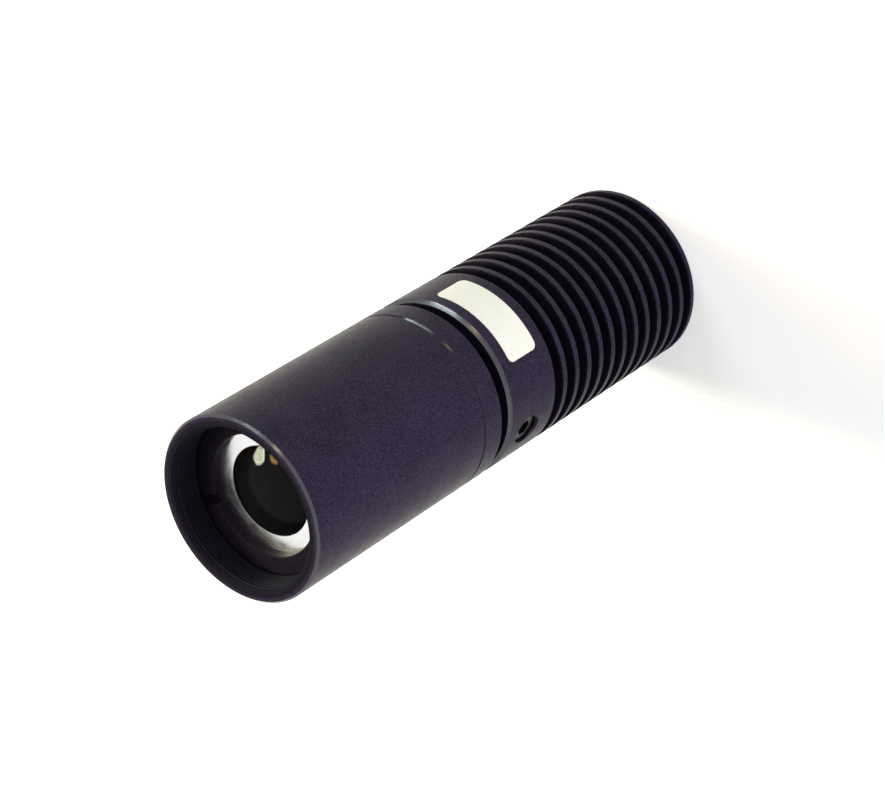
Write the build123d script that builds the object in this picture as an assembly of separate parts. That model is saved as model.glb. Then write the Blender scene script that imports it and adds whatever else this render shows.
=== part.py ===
"""LED collimator: a finned lamp housing with a sliding lens tube.

Millimetres, +Z up along the optical axis. The origin is the centre of the rear face, on which the part stands,
and the beam leaves at the top. The lens tube slides in the housing to set the focus, and a set screw in the
housing's side, facing -Y, clamps it.
"""

import os
from math import cos, radians, sin

from build123d import *

# Barrel: the tube, the sleeve's flange and the housing share one outside diameter
barrel_diameter = 30.5
edge_chamfer = 0.35
seam_chamfer = 0.2

# Lens tube: walls are measured inwards from the barrel
tube_length = 39.8
tube_wall = 2.1
tube_bore_step = 0.85
front_thread_length = 4.65
rear_thread_length = 7.0
lead_in = 0.45

# Lens cell, which the retaining ring holds against the tube's seat
cell_step = 0.55
cell_clearance = 0.1
cell_wall = 3.65
cell_length = 5.5
cell_lip = 1.0
cell_lip_cover = 1.35
cell_seat_width = 2.0
cell_seat_ledge = 0.9
lens_clearance = 0.1
lens_edge = 2.5
lens_radius = 15.0
lens_front_gap = 0.15
lens_front_sink = 0.25
lens_ring_width = 1.5
lens_ring_cover = 0.65
lens_ring_slot = 0.8
retaining_ring_width = 1.9
retaining_ring_cover = 2.65
retaining_ring_chamfer = 0.15
spanner_slot_width = 1.6
spanner_slot_depth = 0.9
spanner_slot_angle = 129.0

# Focus sleeve, which joins the tube to the housing
sleeve_flange = 4.5
sleeve_spigot = 6.4
neck_diameter = 21.0
neck_length = 15.3
sleeve_wall = 1.3
running_clearance = 0.05
thread_clearance = 0.02

# How far a cutter runs past the surface that it cuts
overrun = 1.0

# Housing, from the rear face
focus_gap = 2.2
land_length = 11.68
land_chamfer = 0.55
fin_count = 12
fin_pitch = 3.335
fin_tip = 1.0
fin_root_wall = 1.45
pocket_depth = 21.5
core_thickness = 9.2
chamber_wire_gap = 1.6
plate_shoulder = 0.6
recess_depth = 8.0
bore_lead_in = 0.3

# Set screw and its tapped hole, at the sleeve's neck
set_screw_diameter = 5.0
set_screw_sink = 0.7
set_screw_socket = 2.5
set_screw_socket_depth = 1.8
set_screw_from_front = 5.2
set_screw_countersink = 0.35
set_screw_angle = -92.0

# Label on the housing's land
label_width = 6.9
label_arc = 65.2
label_corner = 1.0
label_thickness = 0.08
label_from_front = 2.55
label_angle_from_screw = 81.4

# Post that carries the lamp and takes its heat to the fins
post_gap = 1.2
post_length = 29.0
post_flange = 3.0
post_flange_clearance = 0.1
post_wire_cut = 1.1
post_screw_diameter = 2.0
post_screw_head = 3.8
post_screw_head_gap = 0.1
post_screw_head_height = 2.0
post_screw_length = 7.0
post_screw_socket = 1.5
post_screw_socket_depth = 1.0
tapping_allowance = 0.5

# Lamp board and lamp
pad_thickness = 0.15
pad_inset = 0.2
board_thickness = 1.6
board_screw_diameter = 2.0
board_screw_length = 6.0
board_screw_head = 3.8
board_screw_head_height = 1.3
board_screw_slot = 0.5
washer_diameter = 4.4
washer_thickness = 0.4
washer_gap = 0.2
hole_clearance = 0.1
lamp_base = 3.45
lamp_base_height = 0.7
emitter_size = 1.4
emitter_height = 0.15
lamp_dome_radius = 1.55

# Wires from the socket to the lamp board
wire_diameter = 1.2
wire_hole_diameter = 2.0
wire_bend = 1.0
wire_reach = 2.1
wire_rise = 0.6
wire_arch = 1.65

# Socket in the rear recess
plate_thickness = 3.0
plate_spanner_diameter = 1.6
plate_spanner_depth = 1.5
plate_spanner_edge = 1.8
socket_thread_diameter = 10.0
socket_coupling_diameter = 8.0
socket_coupling_length = 5.2
socket_flange_height = 1.8
socket_flange_flats = 12.0
socket_tail = 6.5
socket_bore = 6.3
socket_cavity = 4.0
socket_chamfer = 0.3
socket_nut_flats = 13.0
socket_nut_height = 2.5
gasket_section = 0.8
pin_diameter = 1.0
pin_circle = 3.5
pin_count = 4
pin_recess = 1.0
pin_tail = 1.5

# Radii worked out from walls and fits
barrel_radius = barrel_diameter / 2
thread_radius = barrel_radius - tube_wall
tube_bore_radius = thread_radius - tube_bore_step
cell_bore_radius = thread_radius - cell_step
cell_radius = cell_bore_radius - cell_clearance
lens_bore_radius = cell_radius - cell_wall
lens_rim_radius = lens_bore_radius - lens_clearance
lip_radius = lens_rim_radius - cell_lip_cover
lens_dome_radius = lip_radius - lens_front_gap
neck_radius = neck_diameter / 2
pocket_radius = neck_radius + running_clearance
sleeve_bore_radius = neck_radius - sleeve_wall
fin_root_radius = pocket_radius + fin_root_wall
post_radius = sleeve_bore_radius - post_gap
post_flange_radius = pocket_radius - post_flange_clearance
post_screw_offset = post_flange_radius - post_screw_head / 2 - post_screw_head_gap
post_screw_cut = post_screw_offset - post_screw_head / 2 - post_screw_head_gap
board_screw_offset = (lamp_base + washer_diameter) / 2 + washer_gap
chamber_radius = post_radius + chamber_wire_gap
recess_radius = chamber_radius + plate_shoulder
set_screw_tip = pocket_radius
set_screw_top = barrel_radius - set_screw_sink

# Heights above the rear face
body_top = fin_count * fin_pitch + land_length
flange_bottom = body_top + focus_gap
tube_bottom = flange_bottom + sleeve_flange
tube_top = tube_bottom + tube_length
ring_top = tube_top - lead_in - front_thread_length
cell_top = ring_top - retaining_ring_width
cell_bottom = cell_top - cell_length
lens_dome_edge = cell_top - lens_front_sink
lens_rim_top = cell_top - cell_lip
lens_back = lens_rim_top - lens_edge
lens_ring_bottom = lens_back - lens_ring_width
neck_bottom = flange_bottom - neck_length
pocket_floor = body_top - pocket_depth
chamber_top = pocket_floor - core_thickness
plate_top = recess_depth + plate_thickness
post_top = pocket_floor + post_length
flange_top = pocket_floor + post_flange
board_bottom = post_top + pad_thickness
board_top = board_bottom + board_thickness
washer_top = board_top + washer_thickness
lamp_base_top = board_top + lamp_base_height
set_screw_height = body_top - set_screw_from_front
socket_mouth = recess_depth - socket_flange_height - socket_coupling_length
insert_bottom = socket_mouth + socket_cavity
socket_top = recess_depth + socket_tail
pin_top = socket_top + pin_tail


def turned(points):
    """A turned solid from the closed outline of its half section, as (radius, height) points."""
    outline = make_face(Polyline(*points, close=True))
    return revolve(Plane.XZ * outline, axis=Axis.Z)


def rod(diameter, bottom, top, x=0.0, y=0.0):
    """An upright cylinder between two heights."""
    blank = extrude(Circle(diameter / 2), amount=top - bottom)
    return Pos(x, y, bottom) * blank


def hexagon(flats, bottom, top, x=0.0, y=0.0):
    """An upright hexagonal bar of a given size across its flats."""
    outline = RegularPolygon(radius=flats / 2, side_count=6, major_radius=False)
    return Pos(x, y, bottom) * extrude(outline, amount=top - bottom)


def radial(shape, angle, height):
    """Turns a solid built along +Z so that it points outwards at an angle, at a height."""
    return Pos(0, 0, height) * Rot(0, 0, angle) * Rot(0, 90, 0) * shape


def lens_tube():
    """Tube with a thread at each end and the lens cell's seat between them."""
    seat_radius = cell_radius - cell_seat_ledge
    seat_bottom = cell_bottom - cell_seat_width
    rear_thread_top = tube_bottom + rear_thread_length
    return turned([
        (thread_radius, tube_bottom),
        (barrel_radius - seam_chamfer, tube_bottom),
        (barrel_radius, tube_bottom + seam_chamfer),
        (barrel_radius, tube_top - edge_chamfer),
        (barrel_radius - edge_chamfer, tube_top),
        (thread_radius + lead_in, tube_top),
        (thread_radius, tube_top - lead_in),
        (thread_radius, ring_top),
        (cell_bore_radius, ring_top),
        (cell_bore_radius, cell_bottom),
        (seat_radius, cell_bottom),
        (seat_radius, seat_bottom),
        (tube_bore_radius, seat_bottom),
        (tube_bore_radius, rear_thread_top),
        (thread_radius, rear_thread_top),
    ])


def lens_cell():
    """Bright ring that holds the lens behind its lip."""
    return turned([
        (lip_radius, cell_top),
        (cell_radius, cell_top),
        (cell_radius, cell_bottom),
        (lens_bore_radius, cell_bottom),
        (lens_bore_radius, lens_rim_top),
        (lip_radius, lens_rim_top),
    ])


def lens():
    """Condenser lens: a dome that fills the cell's lip, a rim under it and a flat back towards the lamp."""
    centre = lens_dome_edge - (lens_radius ** 2 - lens_dome_radius ** 2) ** 0.5
    middle = lens_dome_radius / 2
    middle_height = centre + (lens_radius ** 2 - middle ** 2) ** 0.5
    apex = (0, centre + lens_radius)
    dome = ThreePointArc(apex, (middle, middle_height), (lens_dome_radius, lens_dome_edge))
    rest = Polyline(
        (lens_dome_radius, lens_dome_edge),
        (lens_dome_radius, lens_rim_top),
        (lens_rim_radius, lens_rim_top),
        (lens_rim_radius, lens_back),
        (0, lens_back),
        apex,
    )
    return revolve(Plane.XZ * make_face(Curve() + [dome, rest]), axis=Axis.Z)


def spanner_slot(top, width, depth, angle):
    """Slot right across a ring, cut down from a height."""
    slot = Box(barrel_diameter, width, depth, align=(Align.CENTER, Align.CENTER, Align.MAX))
    return Pos(0, 0, top) * Rot(0, 0, angle) * slot


def lens_ring():
    """Slotted threaded ring that holds the lens in its cell, from behind."""
    inner = lens_rim_radius - lens_ring_cover
    outer = lens_bore_radius - thread_clearance
    ring = turned([
        (inner, lens_ring_bottom),
        (outer, lens_ring_bottom),
        (outer, lens_back),
        (inner, lens_back),
    ])
    slot_top = lens_ring_bottom + lens_ring_slot
    return ring - spanner_slot(slot_top, spanner_slot_width, lens_ring_slot, spanner_slot_angle)


def retaining_ring():
    """Threaded ring over the lens cell's rim, with two spanner slots."""
    inner = cell_bore_radius - retaining_ring_cover
    outer = cell_bore_radius - thread_clearance
    ring = turned([
        (inner, cell_top),
        (outer, cell_top),
        (outer, ring_top),
        (inner + retaining_ring_chamfer, ring_top),
        (inner, ring_top - retaining_ring_chamfer),
    ])
    return ring - spanner_slot(ring_top, spanner_slot_width, spanner_slot_depth, spanner_slot_angle)


def focus_sleeve():
    """Flange that closes the tube, with a threaded spigot above and the sliding neck below."""
    spigot_radius = thread_radius - thread_clearance
    spigot_top = tube_bottom + sleeve_spigot
    return turned([
        (sleeve_bore_radius, neck_bottom),
        (neck_radius - bore_lead_in, neck_bottom),
        (neck_radius, neck_bottom + bore_lead_in),
        (neck_radius, flange_bottom),
        (barrel_radius - seam_chamfer, flange_bottom),
        (barrel_radius, flange_bottom + seam_chamfer),
        (barrel_radius, tube_bottom - edge_chamfer),
        (barrel_radius - edge_chamfer, tube_bottom),
        (spigot_radius, tube_bottom),
        (spigot_radius, spigot_top - lead_in),
        (spigot_radius - lead_in, spigot_top),
        (sleeve_bore_radius, spigot_top),
    ])


def housing_section():
    """Half section of the housing: recess, chamber, core, pocket, land and fins."""
    outside = []
    for i in range(fin_count):
        fin_bottom = i * fin_pitch
        groove_bottom = fin_bottom + fin_tip
        groove_top = fin_bottom + fin_pitch
        outside += [
            (barrel_radius, groove_bottom),
            (fin_root_radius, groove_bottom),
            (fin_root_radius, groove_top),
            (barrel_radius, groove_top),
        ]
    return [
        (recess_radius, 0),
        (barrel_radius - seam_chamfer, 0),
        (barrel_radius, seam_chamfer),
        *outside,
        (barrel_radius, body_top - land_chamfer),
        (barrel_radius - land_chamfer, body_top),
        (pocket_radius + bore_lead_in, body_top),
        (pocket_radius, body_top - bore_lead_in),
        (pocket_radius, pocket_floor),
        (0, pocket_floor),
        (0, chamber_top),
        (chamber_radius, chamber_top),
        (chamber_radius, plate_top),
        (recess_radius, plate_top),
    ]


def set_screw_hole():
    """Tapped hole through the land, with a countersunk mouth, built along +Z from the axis."""
    hole_radius = set_screw_diameter / 2 + thread_clearance
    mouth = barrel_radius - set_screw_countersink
    return turned([
        (0, set_screw_tip - overrun),
        (hole_radius, set_screw_tip - overrun),
        (hole_radius, mouth),
        (hole_radius + set_screw_countersink + overrun, barrel_radius + overrun),
        (0, barrel_radius + overrun),
    ])


def heatsink_body():
    """Finned housing with the sleeve's pocket, the socket recess and its drilled holes."""
    body = turned(housing_section())
    body -= radial(set_screw_hole(), set_screw_angle, set_screw_height)
    tapped_bottom = flange_top - post_screw_length - tapping_allowance
    tapped_diameter = post_screw_diameter + 2 * thread_clearance
    for side in (-1, 1):
        body -= rod(wire_hole_diameter, chamber_top - overrun, pocket_floor + overrun, x=side * post_radius)
        body -= rod(tapped_diameter, tapped_bottom, pocket_floor + overrun, y=side * post_screw_offset)
    return body


def set_screw():
    """Headless screw with a hexagon socket, its tip against the sleeve's neck."""
    screw = rod(set_screw_diameter, set_screw_tip, set_screw_top)
    screw = chamfer(screw.edges().filter_by(GeomType.CIRCLE), seam_chamfer)
    screw -= hexagon(set_screw_socket, set_screw_top - set_screw_socket_depth, set_screw_top)
    return radial(screw, set_screw_angle, set_screw_height)


def label():
    """Blank label wrapped round the land, with rounded corners."""
    top = body_top - label_from_front
    middle = top - label_width / 2
    skin = turned([
        (barrel_radius, top - label_width),
        (barrel_radius + label_thickness, top - label_width),
        (barrel_radius + label_thickness, top),
        (barrel_radius, top),
    ])
    # The outline is as wide, seen square on, as the chord of the label's arc
    chord = 2 * (barrel_radius + label_thickness) * sin(radians(label_arc / 2))
    outline = extrude(RectangleRounded(label_width, chord, label_corner), amount=2 * barrel_radius)
    return skin & radial(outline, set_screw_angle + label_angle_from_screw, middle)


def post_section(inset=0.0):
    """Cross section of the lamp post: round, with flats that clear the wires and the screws."""
    flats = Rectangle(2 * (post_radius - post_wire_cut - inset), 2 * (post_screw_cut - inset))
    return Circle(post_radius - inset) & flats


def led_post():
    """Post with a flange that is screwed to the housing's core."""
    post = rod(2 * post_flange_radius, pocket_floor, flange_top)
    post += Pos(0, 0, flange_top) * extrude(post_section(), amount=post_top - flange_top)
    through = post_screw_diameter + 2 * hole_clearance
    tapped = board_screw_diameter + 2 * thread_clearance
    tapped_bottom = washer_top - board_screw_length - tapping_allowance
    for side in (-1, 1):
        post -= rod(wire_hole_diameter, pocket_floor - overrun, flange_top + overrun, x=side * post_radius)
        post -= rod(through, pocket_floor - overrun, flange_top + overrun, y=side * post_screw_offset)
        post -= rod(tapped, tapped_bottom, post_top + overrun, y=side * board_screw_offset)
    return post


def post_screws():
    """Two socket cap screws that hold the post."""
    screws = []
    for side in (-1, 1):
        y = side * post_screw_offset
        top = flange_top + post_screw_head_height
        screw = rod(post_screw_diameter, flange_top - post_screw_length, flange_top, y=y)
        screw += rod(post_screw_head, flange_top, top, y=y)
        screws.append(screw - hexagon(post_screw_socket, top - post_screw_socket_depth, top, y=y))
    return Compound(screws)


def board_screw_holes(bottom, top):
    """The two clearance holes for the board screws."""
    diameter = board_screw_diameter + 2 * hole_clearance
    return [rod(diameter, bottom - overrun, top + overrun, y=side * board_screw_offset) for side in (-1, 1)]


def thermal_pad():
    """Thin pad between the post and the lamp board."""
    pad = Pos(0, 0, post_top) * extrude(post_section(pad_inset), amount=pad_thickness)
    return pad - board_screw_holes(post_top, board_bottom)


def led_board():
    """Round metal-core board with notches for the wires and holes for its screws."""
    board = rod(2 * post_radius, board_bottom, board_top)
    board -= board_screw_holes(board_bottom, board_top)
    for side in (-1, 1):
        board -= rod(wire_hole_diameter, board_bottom - overrun, board_top + overrun, x=side * post_radius)
    return board


def screw_washers():
    """Insulating washers under the board screws."""
    holes = board_screw_holes(board_top, washer_top)
    washers = []
    for side, hole in zip((-1, 1), holes):
        washers.append(rod(washer_diameter, board_top, washer_top, y=side * board_screw_offset) - hole)
    return Compound(washers)


def board_screws():
    """Two slotted pan-head screws that hold the lamp board."""
    top = washer_top + board_screw_head_height
    down = (Align.CENTER, Align.CENTER, Align.MAX)
    slot = Box(2 * board_screw_head, board_screw_slot, board_screw_slot, align=down)
    screws = []
    for side in (-1, 1):
        y = side * board_screw_offset
        screw = rod(board_screw_diameter, washer_top - board_screw_length, washer_top, y=y)
        screw += rod(board_screw_head, washer_top, top, y=y)
        screws.append(screw - Pos(0, y, top) * slot)
    return Compound(screws)


def led_base():
    """Ceramic base of the lamp."""
    base = extrude(Rectangle(lamp_base, lamp_base), amount=lamp_base_height)
    return Pos(0, 0, board_top) * base


def led_emitter():
    """Square phosphor plate over the chip."""
    plate = extrude(Rectangle(emitter_size, emitter_size), amount=emitter_height)
    return Pos(0, 0, lamp_base_top) * plate


def led_dome():
    """Clear dome moulded over the emitter."""
    ball = Pos(0, 0, lamp_base_top) * Sphere(lamp_dome_radius)
    dome = split(ball, bisect_by=Plane.XY.offset(lamp_base_top), keep=Keep.TOP)
    return dome - led_emitter()


def wire(side):
    """Wire from a socket pin, up through the core and along the post, to its landing on the board."""
    arch_top = board_top + wire_arch
    landing = post_radius - wire_reach
    path = FilletPolyline(
        (side * pin_circle / 2, 0, pin_top),
        (side * pin_circle / 2, 0, pin_top + wire_bend + wire_rise),
        (side * post_radius, 0, chamber_top - wire_bend),
        (side * post_radius, 0, arch_top),
        (side * landing, 0, arch_top),
        (side * landing, 0, board_top),
        radius=wire_bend,
    )
    return sweep(Plane(path @ 0, z_dir=path % 0) * Circle(wire_diameter / 2), path=path)


def socket_plate():
    """Threaded plate that carries the socket, with two spanner holes in its rear face."""
    hole = socket_thread_diameter / 2 + running_clearance
    outer = recess_radius - thread_clearance
    spanner_offset = recess_radius - plate_spanner_edge
    plate = turned([(hole, recess_depth), (outer, recess_depth), (outer, plate_top), (hole, plate_top)])
    for side in (-1, 1):
        plate -= rod(
            plate_spanner_diameter,
            recess_depth - overrun,
            recess_depth + plate_spanner_depth,
            x=side * spanner_offset,
        )
    return plate


def socket_shell():
    """Shell of the round socket: coupling thread, hexagon flange and mounting thread."""
    coupling_radius = socket_coupling_diameter / 2
    hexagon_bottom = recess_depth - socket_flange_height
    shell = turned([
        (socket_bore / 2, socket_mouth),
        (coupling_radius - socket_chamfer, socket_mouth),
        (coupling_radius, socket_mouth + socket_chamfer),
        (coupling_radius, recess_depth),
        (socket_thread_diameter / 2, recess_depth),
        (socket_thread_diameter / 2, socket_top),
        (socket_bore / 2, socket_top),
    ])
    flange = hexagon(socket_flange_flats, hexagon_bottom, recess_depth)
    flange -= rod(socket_coupling_diameter, hexagon_bottom - overrun, recess_depth + overrun)
    groove = turned([
        (socket_thread_diameter / 2, recess_depth - gasket_section),
        (socket_thread_diameter / 2 + gasket_section, recess_depth - gasket_section),
        (socket_thread_diameter / 2 + gasket_section, recess_depth),
        (socket_thread_diameter / 2, recess_depth),
    ])
    return shell + (flange - groove)


def socket_gasket():
    """Sealing ring in the groove under the socket's flange."""
    middle_radius = (socket_thread_diameter + gasket_section) / 2
    middle_height = recess_depth - gasket_section / 2
    section = Pos(middle_radius, middle_height) * Circle(gasket_section / 2)
    return revolve(Plane.XZ * section, axis=Axis.Z)


def socket_insert():
    """Insulating insert that holds the pins."""
    insert = rod(socket_bore - 2 * thread_clearance, insert_bottom, socket_top)
    hole_diameter = pin_diameter + 2 * thread_clearance
    for x, y in pin_places():
        insert -= rod(hole_diameter, insert_bottom - overrun, socket_top + overrun, x=x, y=y)
    return insert


def pin_places():
    """Centres of the pins, evenly round their circle from +X."""
    angles = [radians(i * 360 / pin_count) for i in range(pin_count)]
    return [(pin_circle / 2 * cos(angle), pin_circle / 2 * sin(angle)) for angle in angles]


def socket_pins():
    """Round contact pins with chamfered tips."""
    pins = []
    for x, y in pin_places():
        pin = rod(pin_diameter, socket_mouth + pin_recess, pin_top, x=x, y=y)
        pins.append(chamfer(pin.edges().group_by(Axis.Z)[0], seam_chamfer))
    return Compound(pins)


def socket_nut():
    """Hexagon nut behind the socket plate."""
    nut_top = plate_top + socket_nut_height
    hole_diameter = socket_thread_diameter + 2 * thread_clearance
    nut = hexagon(socket_nut_flats, plate_top, nut_top)
    return nut - rod(hole_diameter, plate_top - overrun, nut_top + overrun)


nodes = {
    "heatsink_body": heatsink_body,
    "focus_sleeve": focus_sleeve,
    "lens_tube": lens_tube,
    "lens_cell": lens_cell,
    "lens": lens,
    "lens_ring": lens_ring,
    "retaining_ring": retaining_ring,
    "set_screw": set_screw,
    "label": label,
    "led_post": led_post,
    "post_screws": post_screws,
    "thermal_pad": thermal_pad,
    "led_board": led_board,
    "screw_washers": screw_washers,
    "board_screws": board_screws,
    "led_base": led_base,
    "led_emitter": led_emitter,
    "led_dome": led_dome,
    "red_wire": lambda: wire(1),
    "black_wire": lambda: wire(-1),
    "socket_plate": socket_plate,
    "socket_shell": socket_shell,
    "socket_gasket": socket_gasket,
    "socket_insert": socket_insert,
    "socket_pins": socket_pins,
    "socket_nut": socket_nut,
}

os.makedirs("parts", exist_ok=True)
for name, build in nodes.items():
    export_step(build(), f"parts/{name}.step")
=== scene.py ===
"""Looks for the LED collimator: materials, the front thread, lights, floor and camera.

Lengths are in metres. The part stands on its rear face and the beam leaves at the top.
"""

import math

import bpy
from mathutils import Matrix, Quaternion, Vector


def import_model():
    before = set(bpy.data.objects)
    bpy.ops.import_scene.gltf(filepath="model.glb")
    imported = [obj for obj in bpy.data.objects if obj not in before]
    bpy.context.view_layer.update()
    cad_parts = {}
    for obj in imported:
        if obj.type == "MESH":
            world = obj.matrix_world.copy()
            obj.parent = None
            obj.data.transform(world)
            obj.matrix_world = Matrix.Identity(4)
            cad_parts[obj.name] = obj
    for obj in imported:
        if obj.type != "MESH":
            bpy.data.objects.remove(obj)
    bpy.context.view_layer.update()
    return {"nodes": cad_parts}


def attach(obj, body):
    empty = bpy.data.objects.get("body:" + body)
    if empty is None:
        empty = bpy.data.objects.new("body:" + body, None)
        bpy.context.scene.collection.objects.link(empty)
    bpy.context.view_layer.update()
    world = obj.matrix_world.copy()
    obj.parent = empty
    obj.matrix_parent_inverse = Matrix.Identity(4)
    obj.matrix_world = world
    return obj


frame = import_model()
nodes = frame["nodes"]
MM = 0.001

# Heights and radii that the CAD model has too
FRONT_FACE = 98.2 * MM
TUBE_BACK = 58.4 * MM
BODY_TOP = 51.7 * MM
BARREL_RADIUS = 15.25 * MM
THREAD_WALL_RADIUS = 13.15 * MM

# The front thread, which only the scene has. Steps and run-out are counted in turns.
THREAD_CREST_RADIUS = 12.84 * MM
THREAD_PITCH = 0.635 * MM
THREAD_HALF_WIDTH = 0.47 * THREAD_PITCH
THREAD_HALF_CREST = 0.07 * THREAD_PITCH
THREAD_SUNK = 0.05 * MM
THREAD_FRONT = FRONT_FACE - 0.5 * MM
THREAD_BACK = FRONT_FACE - 5.0 * MM
THREAD_STEPS = 144
THREAD_RUN_OUT = 0.6
THREAD_LEAST_CREST = 0.02

# Anodising colours: dyed, pale grain, paler edge that is partly worn and partly a painted highlight, and a
# blacker colour painted as shade in grooves and in the mouth
DARK = (0.007, 0.005, 0.015, 1)
LIGHT = (0.0385, 0.0285, 0.0645, 1)
WEAR_AND_HIGHLIGHT = (0.11, 0.106, 0.118, 1)
PAINTED_SHADE_DARK = (0.003, 0.0022, 0.006, 1)

# Anodising noise scales, per metre
GRAIN = 4200.0
FINE_GRAIN = 11000.0
CLOUDS = 140.0
SMUDGES = 420.0
TOOL_RINGS = 9000.0

# Anodising: grain depths, the width of the paler edges, and where chamfers shine and painted shade darkens the
# mouth
GRAIN_DEPTH = 0.014 * MM
FINE_GRAIN_DEPTH = 0.005 * MM
PALE_EDGE_WIDTH = 0.22 * MM
SHINY_FROM_RADIUS = 14.1 * MM
SHINY_PAST_RADIUS = 14.4 * MM
RUBBED_REACH = 0.5 * MM
RUBBED_FADE = 0.1 * MM
MOUTH_DARK_RADIUS = 14.6 * MM

# Refraction of the lens and the lamp's dome, and the share of a reflection that the lens coating leaves
GLASS_IOR = 1.517
SILICONE_IOR = 1.41
COATING = 0.36

# Floor: its radius, and the glow that only sight and reflections get, by distance from the part
FLOOR_RADIUS = 3.0
FLOOR_SIDES = 96
FLOOR_NEAR, FLOOR_FAR = 0.25, 1.0
FLOOR_GLOW_NEAR, FLOOR_GLOW_FAR = 0.42, 0.8

# World: its strength as it is seen and as it lights
WORLD_SEEN = 1.0
WORLD_LIGHT = 0.3

# Lamps: name, azimuth, elevation, distance, width, height, watts, colour, roll, shape
LAMPS = (
    ("window", 42.0, 34.0, 0.6, 0.29, 0.024, 1.0, (0.8, 0.94, 1.0), -28.0, "RECTANGLE"),
    ("desk_lamp", 3.0, 45.0, 0.6, 0.08, 0.05, 0.2, (1.0, 0.7, 0.34), 0.0, "RECTANGLE"),
    ("ceiling_panel", 101.0, 44.0, 0.6, 0.18, 0.2, 3.0, (0.95, 1.0, 0.66), 0.0, "ELLIPSE"),
    ("ceiling_lamp", 82.0, 63.0, 0.6, 0.08, 0.14, 0.55, (1.0, 0.52, 0.14), 0.0, "ELLIPSE"),
    ("fill", -78.0, 12.0, 0.7, 0.9, 0.3, 3.9, (1.0, 1.0, 1.0), 0.0, "RECTANGLE"),
)
LAMPS_FACE = Vector((0.0, 0.0, 0.05))

# Camera: its axes and place, fitted to the photograph, and its focal length in millimetres
CAMERA_RIGHT = Vector((0.214151, -0.760592, -0.612895))
CAMERA_UP = Vector((0.760050, 0.523874, -0.384551))
CAMERA_BACK = Vector((0.613566, -0.383479, 0.690276))
CAMERA_PLACE = Vector((0.2717129, -0.1723534, 0.3582514))
FOCAL_LENGTH = 114.15


class Tree:
    """A material's node tree, with short ways to add nodes and links."""

    def __init__(self, name):
        self.material = bpy.data.materials.new(name)
        self.material.use_nodes = True
        self.nodes = self.material.node_tree.nodes
        self.links = self.material.node_tree.links
        self.nodes.clear()
        self.output = self.nodes.new("ShaderNodeOutputMaterial")

    def add(self, kind, inputs=None, **settings):
        made = self.nodes.new("ShaderNode" + kind)
        for name, value in settings.items():
            setattr(made, name, value)
        for name, value in (inputs or {}).items():
            self.put(made.inputs[name], value)
        return made

    def put(self, socket, value):
        if isinstance(value, bpy.types.NodeSocket):
            self.links.new(value, socket)
        else:
            socket.default_value = value

    def maths(self, operation, a, b=0.0, clamp=False):
        made = self.add("Math", {0: a, 1: b}, operation=operation)
        made.use_clamp = clamp
        return made.outputs[0]

    def span(self, value, low, high, to_low=0.0, to_high=1.0):
        """Maps low to high onto to_low to to_high. Values beyond are held at the ends."""
        limits = {"From Min": low, "From Max": high, "To Min": to_low, "To Max": to_high}
        return self.add("MapRange", {"Value": value, **limits}).outputs[0]

    def times(self, a, b):
        return self.maths("MULTIPLY", a, b)

    def mix(self, factor, a, b):
        made = self.add("Mix", data_type="RGBA")
        self.put(made.inputs[0], factor)
        self.put(made.inputs[6], a)
        self.put(made.inputs[7], b)
        return made.outputs[2]

    def place(self):
        return self.add("TexCoord").outputs["Object"]

    def noise(self, vector, scale, detail=2.0, rough=0.5, distortion=0.0):
        settings = {"Scale": scale, "Detail": detail, "Roughness": rough, "Distortion": distortion}
        return self.add("TexNoise", {"Vector": vector, **settings}).outputs["Fac"]

    def radius(self, place):
        """Distance from the part's axis."""
        flat = self.add("VectorMath", {0: place, 1: (1.0, 1.0, 0.0)}, operation="MULTIPLY").outputs[0]
        return self.add("VectorMath", {0: flat}, operation="LENGTH").outputs["Value"]

    def turned(self, place, swirl=0.03):
        """Coordinates in which noise becomes fine rings round the part's axis."""
        parts = self.add("SeparateXYZ", {0: place})
        across = self.times(parts.outputs[0], swirl)
        along = self.maths("ADD", parts.outputs[2], self.times(parts.outputs[1], swirl))
        return self.add("CombineXYZ", {0: self.radius(place), 1: across, 2: along}).outputs[0]

    def edges(self, radius):
        """A mask of the edges: where a rounded surface would turn away from the true one."""
        rounded = self.add("Bevel", {"Radius": radius}, samples=4).outputs[0]
        true = self.add("NewGeometry").outputs["Normal"]
        dot = self.add("VectorMath", {0: rounded, 1: true}, operation="DOT_PRODUCT").outputs["Value"]
        return self.span(dot, 0.98, 0.82)

    def facets(self):
        """A mask of the 45 degree chamfers."""
        parts = self.add("SeparateXYZ", {0: self.add("TexCoord").outputs["Normal"]})
        lean = self.maths("ABSOLUTE", parts.outputs[2])
        off = self.maths("ABSOLUTE", self.maths("SUBTRACT", lean, math.sqrt(0.5)))
        return self.span(off, 0.16, 0.1)

    def broken(self, mask, noise):
        """The same mask with gaps in it."""
        return self.maths("MULTIPLY", mask, self.span(noise, 0.42, 0.62), clamp=True)

    def bump(self, height, distance, strength=1.0, below=None):
        made = self.add("Bump", {"Height": height, "Distance": distance, "Strength": strength})
        if below is not None:
            self.put(made.inputs["Normal"], below)
        return made.outputs[0]

    def finish(self, **sockets):
        shader = self.add("BsdfPrincipled")
        for name, value in sockets.items():
            self.put(shader.inputs[name.replace("_", " ")], value)
        self.links.new(shader.outputs[0], self.output.inputs[0])
        return self.material


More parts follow.
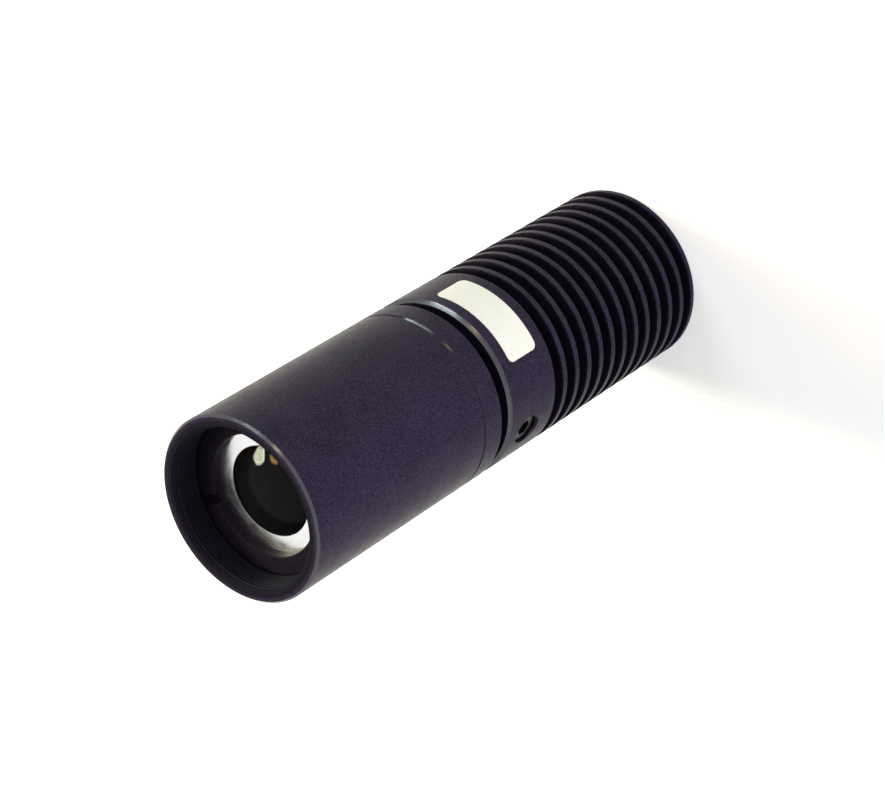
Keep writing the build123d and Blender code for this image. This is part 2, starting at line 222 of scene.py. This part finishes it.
def anodised(name, roughness, ring_depth, colours=(DARK, LIGHT, WEAR_AND_HIGHLIGHT), gloss=0.05, groove=None, rubbed=None):
    """Black anodised aluminium: fine grain, faint turning marks, cloudy dye and paler edges, partly worn and
    partly a painted highlight.

    Inside the radius groove it is painted blacker, as shade, and is duller. Outer chamfers are smoother than
    the rest and painted darker, as shade, and rubbed is the height and the specular level of those that are
    rubbed bright.
    """
    dark, light, wear_and_highlight = colours
    tree = Tree(name)
    place = tree.place()
    grain = tree.noise(place, GRAIN, 3.0, 0.65)
    fine = tree.noise(place, FINE_GRAIN, 2.0, 0.6)
    cloud = tree.noise(place, CLOUDS, 4.0, 0.6, 0.4)
    smudge = tree.noise(place, SMUDGES, 3.0, 0.55, 0.6)
    rings = tree.noise(tree.turned(place), TOOL_RINGS, 2.0, 0.6)
    tone = tree.maths("ADD", tree.times(cloud, 0.16), tree.times(grain, 0.84))
    colour = tree.mix(tree.span(tone, 0.39, 0.61), dark, light)
    edge = tree.edges(PALE_EDGE_WIDTH)
    # Paler edges: partly wear, partly a painted highlight.
    colour = tree.mix(tree.times(tree.broken(edge, smudge), 0.7), colour, wear_and_highlight)
    hazy = tree.span(smudge, 0.35, 0.65, -0.035, 0.045)
    rough = tree.maths("ADD", hazy, tree.span(fine, 0.3, 0.7, roughness - 0.03, roughness + 0.03))

    away = tree.radius(place)
    cut = tree.maths("MAXIMUM", tree.facets(), tree.times(edge, 0.4))
    cut = tree.times(cut, tree.span(away, SHINY_FROM_RADIUS, SHINY_PAST_RADIUS))
    # Painted shade: the outer chamfers and edges are darkened in colour.
    colour = tree.mix(tree.times(cut, 0.7), colour, dark)
    rough = tree.maths("SUBTRACT", rough, tree.times(cut, roughness * 0.6))
    relief = tree.span(cut, 0.0, 1.0, 0.8, 0.04)
    if rubbed is not None:
        level, shine = rubbed
        height = tree.add("SeparateXYZ", {0: place}).outputs[2]
        off = tree.maths("ABSOLUTE", tree.maths("SUBTRACT", height, level))
        near = tree.span(off, RUBBED_REACH + RUBBED_FADE, RUBBED_REACH)
        gloss = tree.span(tree.times(cut, near), 0.0, 1.0, gloss, shine)
    # Painted shade: inside the groove radius the colour turns blacker, broken by smudges; the roughness rises
    # too.
    if groove is not None:
        reach = tree.maths("ADD", away, tree.times(smudge, 0.3 * MM))
        painted_shade = tree.span(reach, groove + 0.15 * MM, groove - 0.35 * MM)
        colour = tree.mix(tree.times(painted_shade, 0.88), colour, PAINTED_SHADE_DARK)
        rough = tree.maths("ADD", rough, tree.times(painted_shade, 0.2))

    normal = tree.bump(rings, ring_depth, relief)
    normal = tree.bump(grain, GRAIN_DEPTH, relief, normal)
    normal = tree.bump(fine, FINE_GRAIN_DEPTH, relief, normal)
    return tree.finish(Base_Color=colour, Roughness=rough, Specular_IOR_Level=gloss, Normal=normal)


def bright_metal(name, colour, shade, roughness, ring_depth, anisotropic=0.0, dish=0.0):
    """Turned bright metal with rings from the tool. A dish is the slope that its end faces seem to have."""
    tree = Tree(name)
    place = tree.place()
    rings = tree.noise(tree.turned(place, 0.05), 8000.0, 3.0, 0.65)
    cloud = tree.noise(place, 500.0, 3.0, 0.6, 0.5)
    tone = tree.mix(tree.span(cloud, 0.35, 0.65), shade, colour)
    scratched = tree.span(rings, 0.3, 0.7, roughness - 0.04, roughness + 0.04)
    rough = tree.maths("ADD", scratched, tree.span(cloud, 0.3, 0.7, -0.02, 0.03))
    normal = tree.bump(rings, ring_depth, 0.7)
    if dish:
        normal = tree.bump(tree.radius(place), dish, 1.0, normal)
    around = tree.add("Tangent", direction_type="RADIAL", axis="Z").outputs[0]
    return tree.finish(
        Base_Color=tone,
        Metallic=1.0,
        Roughness=rough,
        Anisotropic=anisotropic,
        Anisotropic_Rotation=0.25,
        Tangent=around,
        Normal=normal,
    )


def plastic(name, colour, shade, roughness, scale=900.0):
    """Moulded or cast material with a fine mottle."""
    tree = Tree(name)
    place = tree.place()
    mottle = tree.noise(place, scale, 4.0, 0.6)
    fine = tree.noise(place, scale * 6.0, 2.0, 0.5)
    tone = tree.mix(tree.span(mottle, 0.35, 0.65), shade, colour)
    rough = tree.span(fine, 0.3, 0.7, roughness - 0.05, roughness + 0.05)
    normal = tree.bump(fine, 0.01 * MM, 0.6)
    return tree.finish(Base_Color=tone, Roughness=rough, Normal=normal)


def label_paper():
    """Blank white film with a faint fibre and a broken dust line along its edge."""
    tree = Tree("blank_label")
    place = tree.place()
    fibre = tree.noise(place, 2600.0, 5.0, 0.7, 1.2)
    cloud = tree.noise(place, 260.0, 3.0, 0.5)
    tone = tree.mix(tree.span(fibre, 0.3, 0.7), (0.84, 0.845, 0.81, 1), (0.885, 0.885, 0.86, 1))
    tone = tree.mix(tree.span(cloud, 0.5, 0.75, 0.0, 0.35), tone, (0.85, 0.85, 0.81, 1))
    dusty = tree.times(tree.broken(tree.edges(0.12 * MM), fibre), 0.6)
    tone = tree.mix(dusty, tone, (0.5, 0.5, 0.49, 1))
    normal = tree.bump(fibre, 0.004 * MM, 0.5)
    return tree.finish(Base_Color=tone, Roughness=tree.span(fibre, 0.3, 0.7, 0.42, 0.55), Normal=normal)


def coated_glass():
    """Clear lens glass. Its coating leaves a weak, sharp reflection on the outside and none inside."""
    tree = Tree("coated_glass")
    place = tree.place()
    dust = tree.noise(place, 5200.0, 5.0, 0.7)
    film = tree.noise(place, 380.0, 3.0, 0.6, 0.8)
    rough = tree.maths("ADD", tree.span(dust, 0.62, 0.8, 0.0, 0.06), tree.span(film, 0.4, 0.8, 0.0, 0.03))
    tint = tree.mix(tree.span(film, 0.3, 0.7), (0.98, 0.985, 0.98, 1), (0.985, 0.99, 0.985, 1))
    outside = tree.maths("SUBTRACT", 1.0, tree.add("NewGeometry").outputs["Backfacing"])
    through = tree.add("BsdfRefraction", {"Color": tint, "Roughness": rough, "IOR": GLASS_IOR})
    sheen = tree.add("BsdfGlossy", {"Color": (0.92, 0.92, 1.0, 1), "Roughness": 0.0})
    share = tree.times(tree.add("Fresnel", {"IOR": GLASS_IOR}).outputs[0], COATING)
    clean = tree.add("MixShader", {0: tree.times(share, outside), 1: through.outputs[0], 2: sheen.outputs[0]})
    specks = tree.add("BsdfDiffuse", {"Color": (0.62, 0.58, 0.68, 1)})
    dusty = tree.times(tree.span(dust, 0.4, 0.75, 0.004, 0.02), outside)
    both = tree.add("MixShader", {0: dusty, 1: clean.outputs[0], 2: specks.outputs[0]})
    tree.links.new(both.outputs[0], tree.output.inputs[0])
    return tree.material


def clear_silicone():
    """The lamp's soft clear dome."""
    tree = Tree("clear_silicone")
    haze = tree.noise(tree.place(), 3000.0, 3.0, 0.6)
    tint = tree.mix(haze, (0.97, 0.96, 0.9, 1), (0.99, 0.985, 0.96, 1))
    rough = tree.span(haze, 0.3, 0.7, 0.01, 0.08)
    return tree.finish(Base_Color=tint, Transmission_Weight=1.0, IOR=SILICONE_IOR, Roughness=rough)


def dress():
    """Gives every CAD node its material, and returns the one for the front thread."""
    # Painted shade: the ring deep in the mouth has darker colours than the outer anodising.
    shaded_ring = (0.004, 0.003, 0.008, 1), (0.013, 0.0095, 0.021, 1), (0.05, 0.035, 0.025, 1)
    # Painted shade: the thread in the mouth takes the blacker shade colour and darker ones.
    painted_shade = PAINTED_SHADE_DARK, (0.011, 0.0085, 0.018, 1), (0.02, 0.018, 0.024, 1)
    housing = anodised("anodised_housing", 0.36, 0.004 * MM, groove=BARREL_RADIUS, rubbed=(BODY_TOP, 0.9))
    sleeve = anodised("anodised_sleeve", 0.34, 0.005 * MM, rubbed=(TUBE_BACK, 0.22))
    tube = anodised("anodised_tube", 0.34, 0.003 * MM, groove=MOUTH_DARK_RADIUS, rubbed=(FRONT_FACE, 1.0))
    ring = anodised("anodised_ring", 0.6, 0.004 * MM, shaded_ring, gloss=0.06)
    thread = anodised("anodised_thread", 0.55, 0.002 * MM, painted_shade)
    plate = anodised("anodised_plate", 0.42, 0.006 * MM)
    white, warm = (0.95, 0.95, 0.95, 1), (0.9, 0.88, 0.86, 1)
    cell = bright_metal("bright_cell", white, warm, 0.165, 0.001 * MM, anisotropic=0.45, dish=0.05)
    bare = bright_metal("bare_aluminium", (0.8, 0.8, 0.8, 1), (0.68, 0.68, 0.67, 1), 0.34, 0.006 * MM)
    nickel = bright_metal("nickel_plate", (0.76, 0.72, 0.66, 1), (0.66, 0.62, 0.56, 1), 0.22, 0.004 * MM)
    steel = bright_metal("screw_steel", (0.62, 0.62, 0.62, 1), (0.5, 0.5, 0.5, 1), 0.28, 0.003 * MM)
    gold = bright_metal("contact_gold", (0.94, 0.72, 0.34, 1), (0.85, 0.62, 0.27, 1), 0.2, 0.002 * MM)
    oxide = bright_metal("black_oxide", (0.05, 0.05, 0.058, 1), (0.03, 0.03, 0.034, 1), 0.36, 0.004 * MM)
    chosen = {
        "heatsink_body": housing,
        "focus_sleeve": sleeve,
        "lens_tube": tube,
        "lens_cell": cell,
        "lens": coated_glass(),
        "lens_ring": ring,
        "retaining_ring": ring,
        "set_screw": oxide,
        "label": label_paper(),
        "led_post": bare,
        "post_screws": oxide,
        "thermal_pad": plastic("pad_grey", (0.42, 0.44, 0.46, 1), (0.33, 0.35, 0.37, 1), 0.7),
        "led_board": plastic("board_white", (0.8, 0.8, 0.77, 1), (0.72, 0.72, 0.69, 1), 0.42),
        "screw_washers": plastic("washer_nylon", (0.78, 0.76, 0.7, 1), (0.7, 0.68, 0.61, 1), 0.45),
        "board_screws": steel,
        "led_base": plastic("lamp_ceramic", (0.85, 0.85, 0.83, 1), (0.78, 0.78, 0.75, 1), 0.35, 1800.0),
        "led_emitter": plastic("lamp_phosphor", (0.86, 0.68, 0.08, 1), (0.74, 0.55, 0.05, 1), 0.6, 4000.0),
        "led_dome": clear_silicone(),
        "red_wire": plastic("wire_red", (0.5, 0.02, 0.018, 1), (0.36, 0.014, 0.012, 1), 0.35),
        "black_wire": plastic("wire_black", (0.02, 0.02, 0.022, 1), (0.012, 0.012, 0.013, 1), 0.35),
        "socket_plate": plate,
        "socket_shell": nickel,
        "socket_gasket": plastic("gasket_rubber", (0.018, 0.018, 0.019, 1), (0.01, 0.01, 0.011, 1), 0.6, 1500.0),
        "socket_insert": plastic("insert_black", (0.03, 0.03, 0.032, 1), (0.02, 0.02, 0.021, 1), 0.4, 1500.0),
        "socket_pins": gold,
        "socket_nut": nickel,
    }
    for name, material in chosen.items():
        shown = nodes[name]
        if not shown.data.materials:
            shown.data.materials.append(material)
        for index in range(len(shown.material_slots)):
            shown.material_slots[index].material = material
    return thread


def front_thread(material):
    """The fine internal thread in the mouth: one ridge wound round the tube's inner wall."""
    turns = (THREAD_FRONT - THREAD_BACK) / THREAD_PITCH
    count = int(turns * THREAD_STEPS)
    root = THREAD_WALL_RADIUS + THREAD_SUNK
    rise = THREAD_CREST_RADIUS - THREAD_WALL_RADIUS
    points, faces = [], []
    for i in range(count + 1):
        turn = i / THREAD_STEPS
        middle = THREAD_BACK + turn * THREAD_PITCH
        fade = min(1.0, turn / THREAD_RUN_OUT, (turns - turn) / THREAD_RUN_OUT)
        crest = THREAD_WALL_RADIUS + rise * max(fade, THREAD_LEAST_CREST)
        angle = 2 * math.pi * turn
        corners = (
            (root, -THREAD_HALF_WIDTH),
            (crest, -THREAD_HALF_CREST),
            (crest, THREAD_HALF_CREST),
            (root, THREAD_HALF_WIDTH),
        )
        for radius, shift in corners:
            points.append((radius * math.cos(angle), radius * math.sin(angle), middle + shift))
    for i in range(count):
        a, b = 4 * i, 4 * (i + 1)
        for k in range(4):
            n = (k + 1) % 4
            faces.append((a + k, a + n, b + n, b + k))
    faces.append((3, 2, 1, 0))
    faces.append(tuple(4 * count + k for k in range(4)))
    mesh = bpy.data.meshes.new("front_thread_ridge")
    mesh.from_pydata(points, [], faces)
    mesh.validate()
    mesh.update()
    mesh.shade_smooth()
    mesh.set_sharp_from_angle(angle=math.radians(35))
    mesh.materials.append(material)
    ridge = bpy.data.objects.new("front_thread_ridge", mesh)
    bpy.context.scene.collection.objects.link(ridge)
    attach(ridge, "focus_tube")


def floor():
    """A plain pale floor that keeps the part's shadow and fades into the white surroundings."""
    mesh = bpy.data.meshes.new("floor")
    angles = [2 * math.pi * i / FLOOR_SIDES for i in range(FLOOR_SIDES)]
    rim = [(FLOOR_RADIUS * math.cos(a), FLOOR_RADIUS * math.sin(a), 0.0) for a in angles]
    mesh.from_pydata(rim, [], [tuple(range(FLOOR_SIDES))])
    tree = Tree("pale_floor")
    place = tree.place()
    speck = tree.noise(place, 60.0, 3.0)
    tone = tree.mix(speck, (0.80, 0.80, 0.80, 1), (0.82, 0.82, 0.82, 1))
    matt = tree.add("BsdfDiffuse", {"Color": tone})
    path = tree.add("LightPath")
    seen = tree.maths("MAXIMUM", path.outputs["Is Camera Ray"], path.outputs["Is Glossy Ray"])
    seen = tree.maths("MAXIMUM", seen, path.outputs["Is Transmission Ray"])
    far = tree.span(tree.radius(place), FLOOR_NEAR, FLOOR_FAR, FLOOR_GLOW_NEAR, FLOOR_GLOW_FAR)
    glow = tree.add("Emission", {"Color": (1, 1, 1, 1), "Strength": tree.times(seen, far)})
    both = tree.add("AddShader", {0: matt.outputs[0], 1: glow.outputs[0]})
    tree.links.new(both.outputs[0], tree.output.inputs[0])
    mesh.materials.append(tree.material)
    ground = bpy.data.objects.new("floor", mesh)
    bpy.context.scene.collection.objects.link(ground)


def world():
    """Even white surroundings. As light, and in the lens's sharp reflection, they are dimmer."""
    sky = bpy.data.worlds.new("studio")
    bpy.context.scene.world = sky
    sky.use_nodes = True
    tree = sky.node_tree
    back = tree.nodes["Background"]
    back.inputs["Color"].default_value = (1, 1, 1, 1)
    path = tree.nodes.new("ShaderNodeLightPath")
    seen = path.outputs["Is Glossy Ray"]
    rays = ("SUBTRACT", "Is Singular Ray"), ("MAXIMUM", "Is Camera Ray"), ("MAXIMUM", "Is Transmission Ray")
    for operation, ray in rays:
        step = tree.nodes.new("ShaderNodeMath")
        step.operation = operation
        tree.links.new(seen, step.inputs[0])
        tree.links.new(path.outputs[ray], step.inputs[1])
        seen = step.outputs[0]
    level = tree.nodes.new("ShaderNodeMapRange")
    level.inputs["To Min"].default_value = WORLD_LIGHT
    level.inputs["To Max"].default_value = WORLD_SEEN
    tree.links.new(seen, level.inputs["Value"])
    tree.links.new(level.outputs[0], back.inputs["Strength"])


def softbox(name, azimuth, elevation, distance, width, height, watts, colour, roll, shape):
    """An area lamp that faces the part's middle, turned by roll about that direction. Angles are in degrees."""
    lamp = bpy.data.lights.new(name, "AREA")
    lamp.shape = shape
    lamp.energy = watts
    lamp.size = width
    lamp.size_y = height
    lamp.color = colour
    holder = bpy.data.objects.new(name, lamp)
    bpy.context.scene.collection.objects.link(holder)
    a, e = math.radians(azimuth), math.radians(elevation)
    out = Vector((math.cos(a) * math.cos(e), math.sin(a) * math.cos(e), math.sin(e)))
    holder.location = LAMPS_FACE + out * distance
    holder.rotation_mode = "QUATERNION"
    holder.rotation_quaternion = out.to_track_quat("Z", "Y") @ Quaternion((0, 0, 1), math.radians(roll))


def camera():
    """The photograph's viewpoint, found by fitting the part's edges to the photograph."""
    lens = bpy.data.cameras.new("camera")
    holder = bpy.data.objects.new("camera", lens)
    bpy.context.scene.collection.objects.link(holder)
    columns = (CAMERA_RIGHT, CAMERA_UP, CAMERA_BACK, CAMERA_PLACE)
    rows = [tuple(column[i] for column in columns) for i in range(3)]
    holder.matrix_world = Matrix((*rows, (0, 0, 0, 1)))
    lens.sensor_fit = "HORIZONTAL"
    lens.sensor_width = 36.0
    lens.lens = FOCAL_LENGTH
    lens.clip_start = 0.01
    lens.clip_end = 20.0
    bpy.context.scene.camera = holder


front_thread(dress())
floor()
world()
for lamp_values in LAMPS:
    softbox(*lamp_values)
camera()
bpy.context.scene.view_settings.view_transform = "Standard"
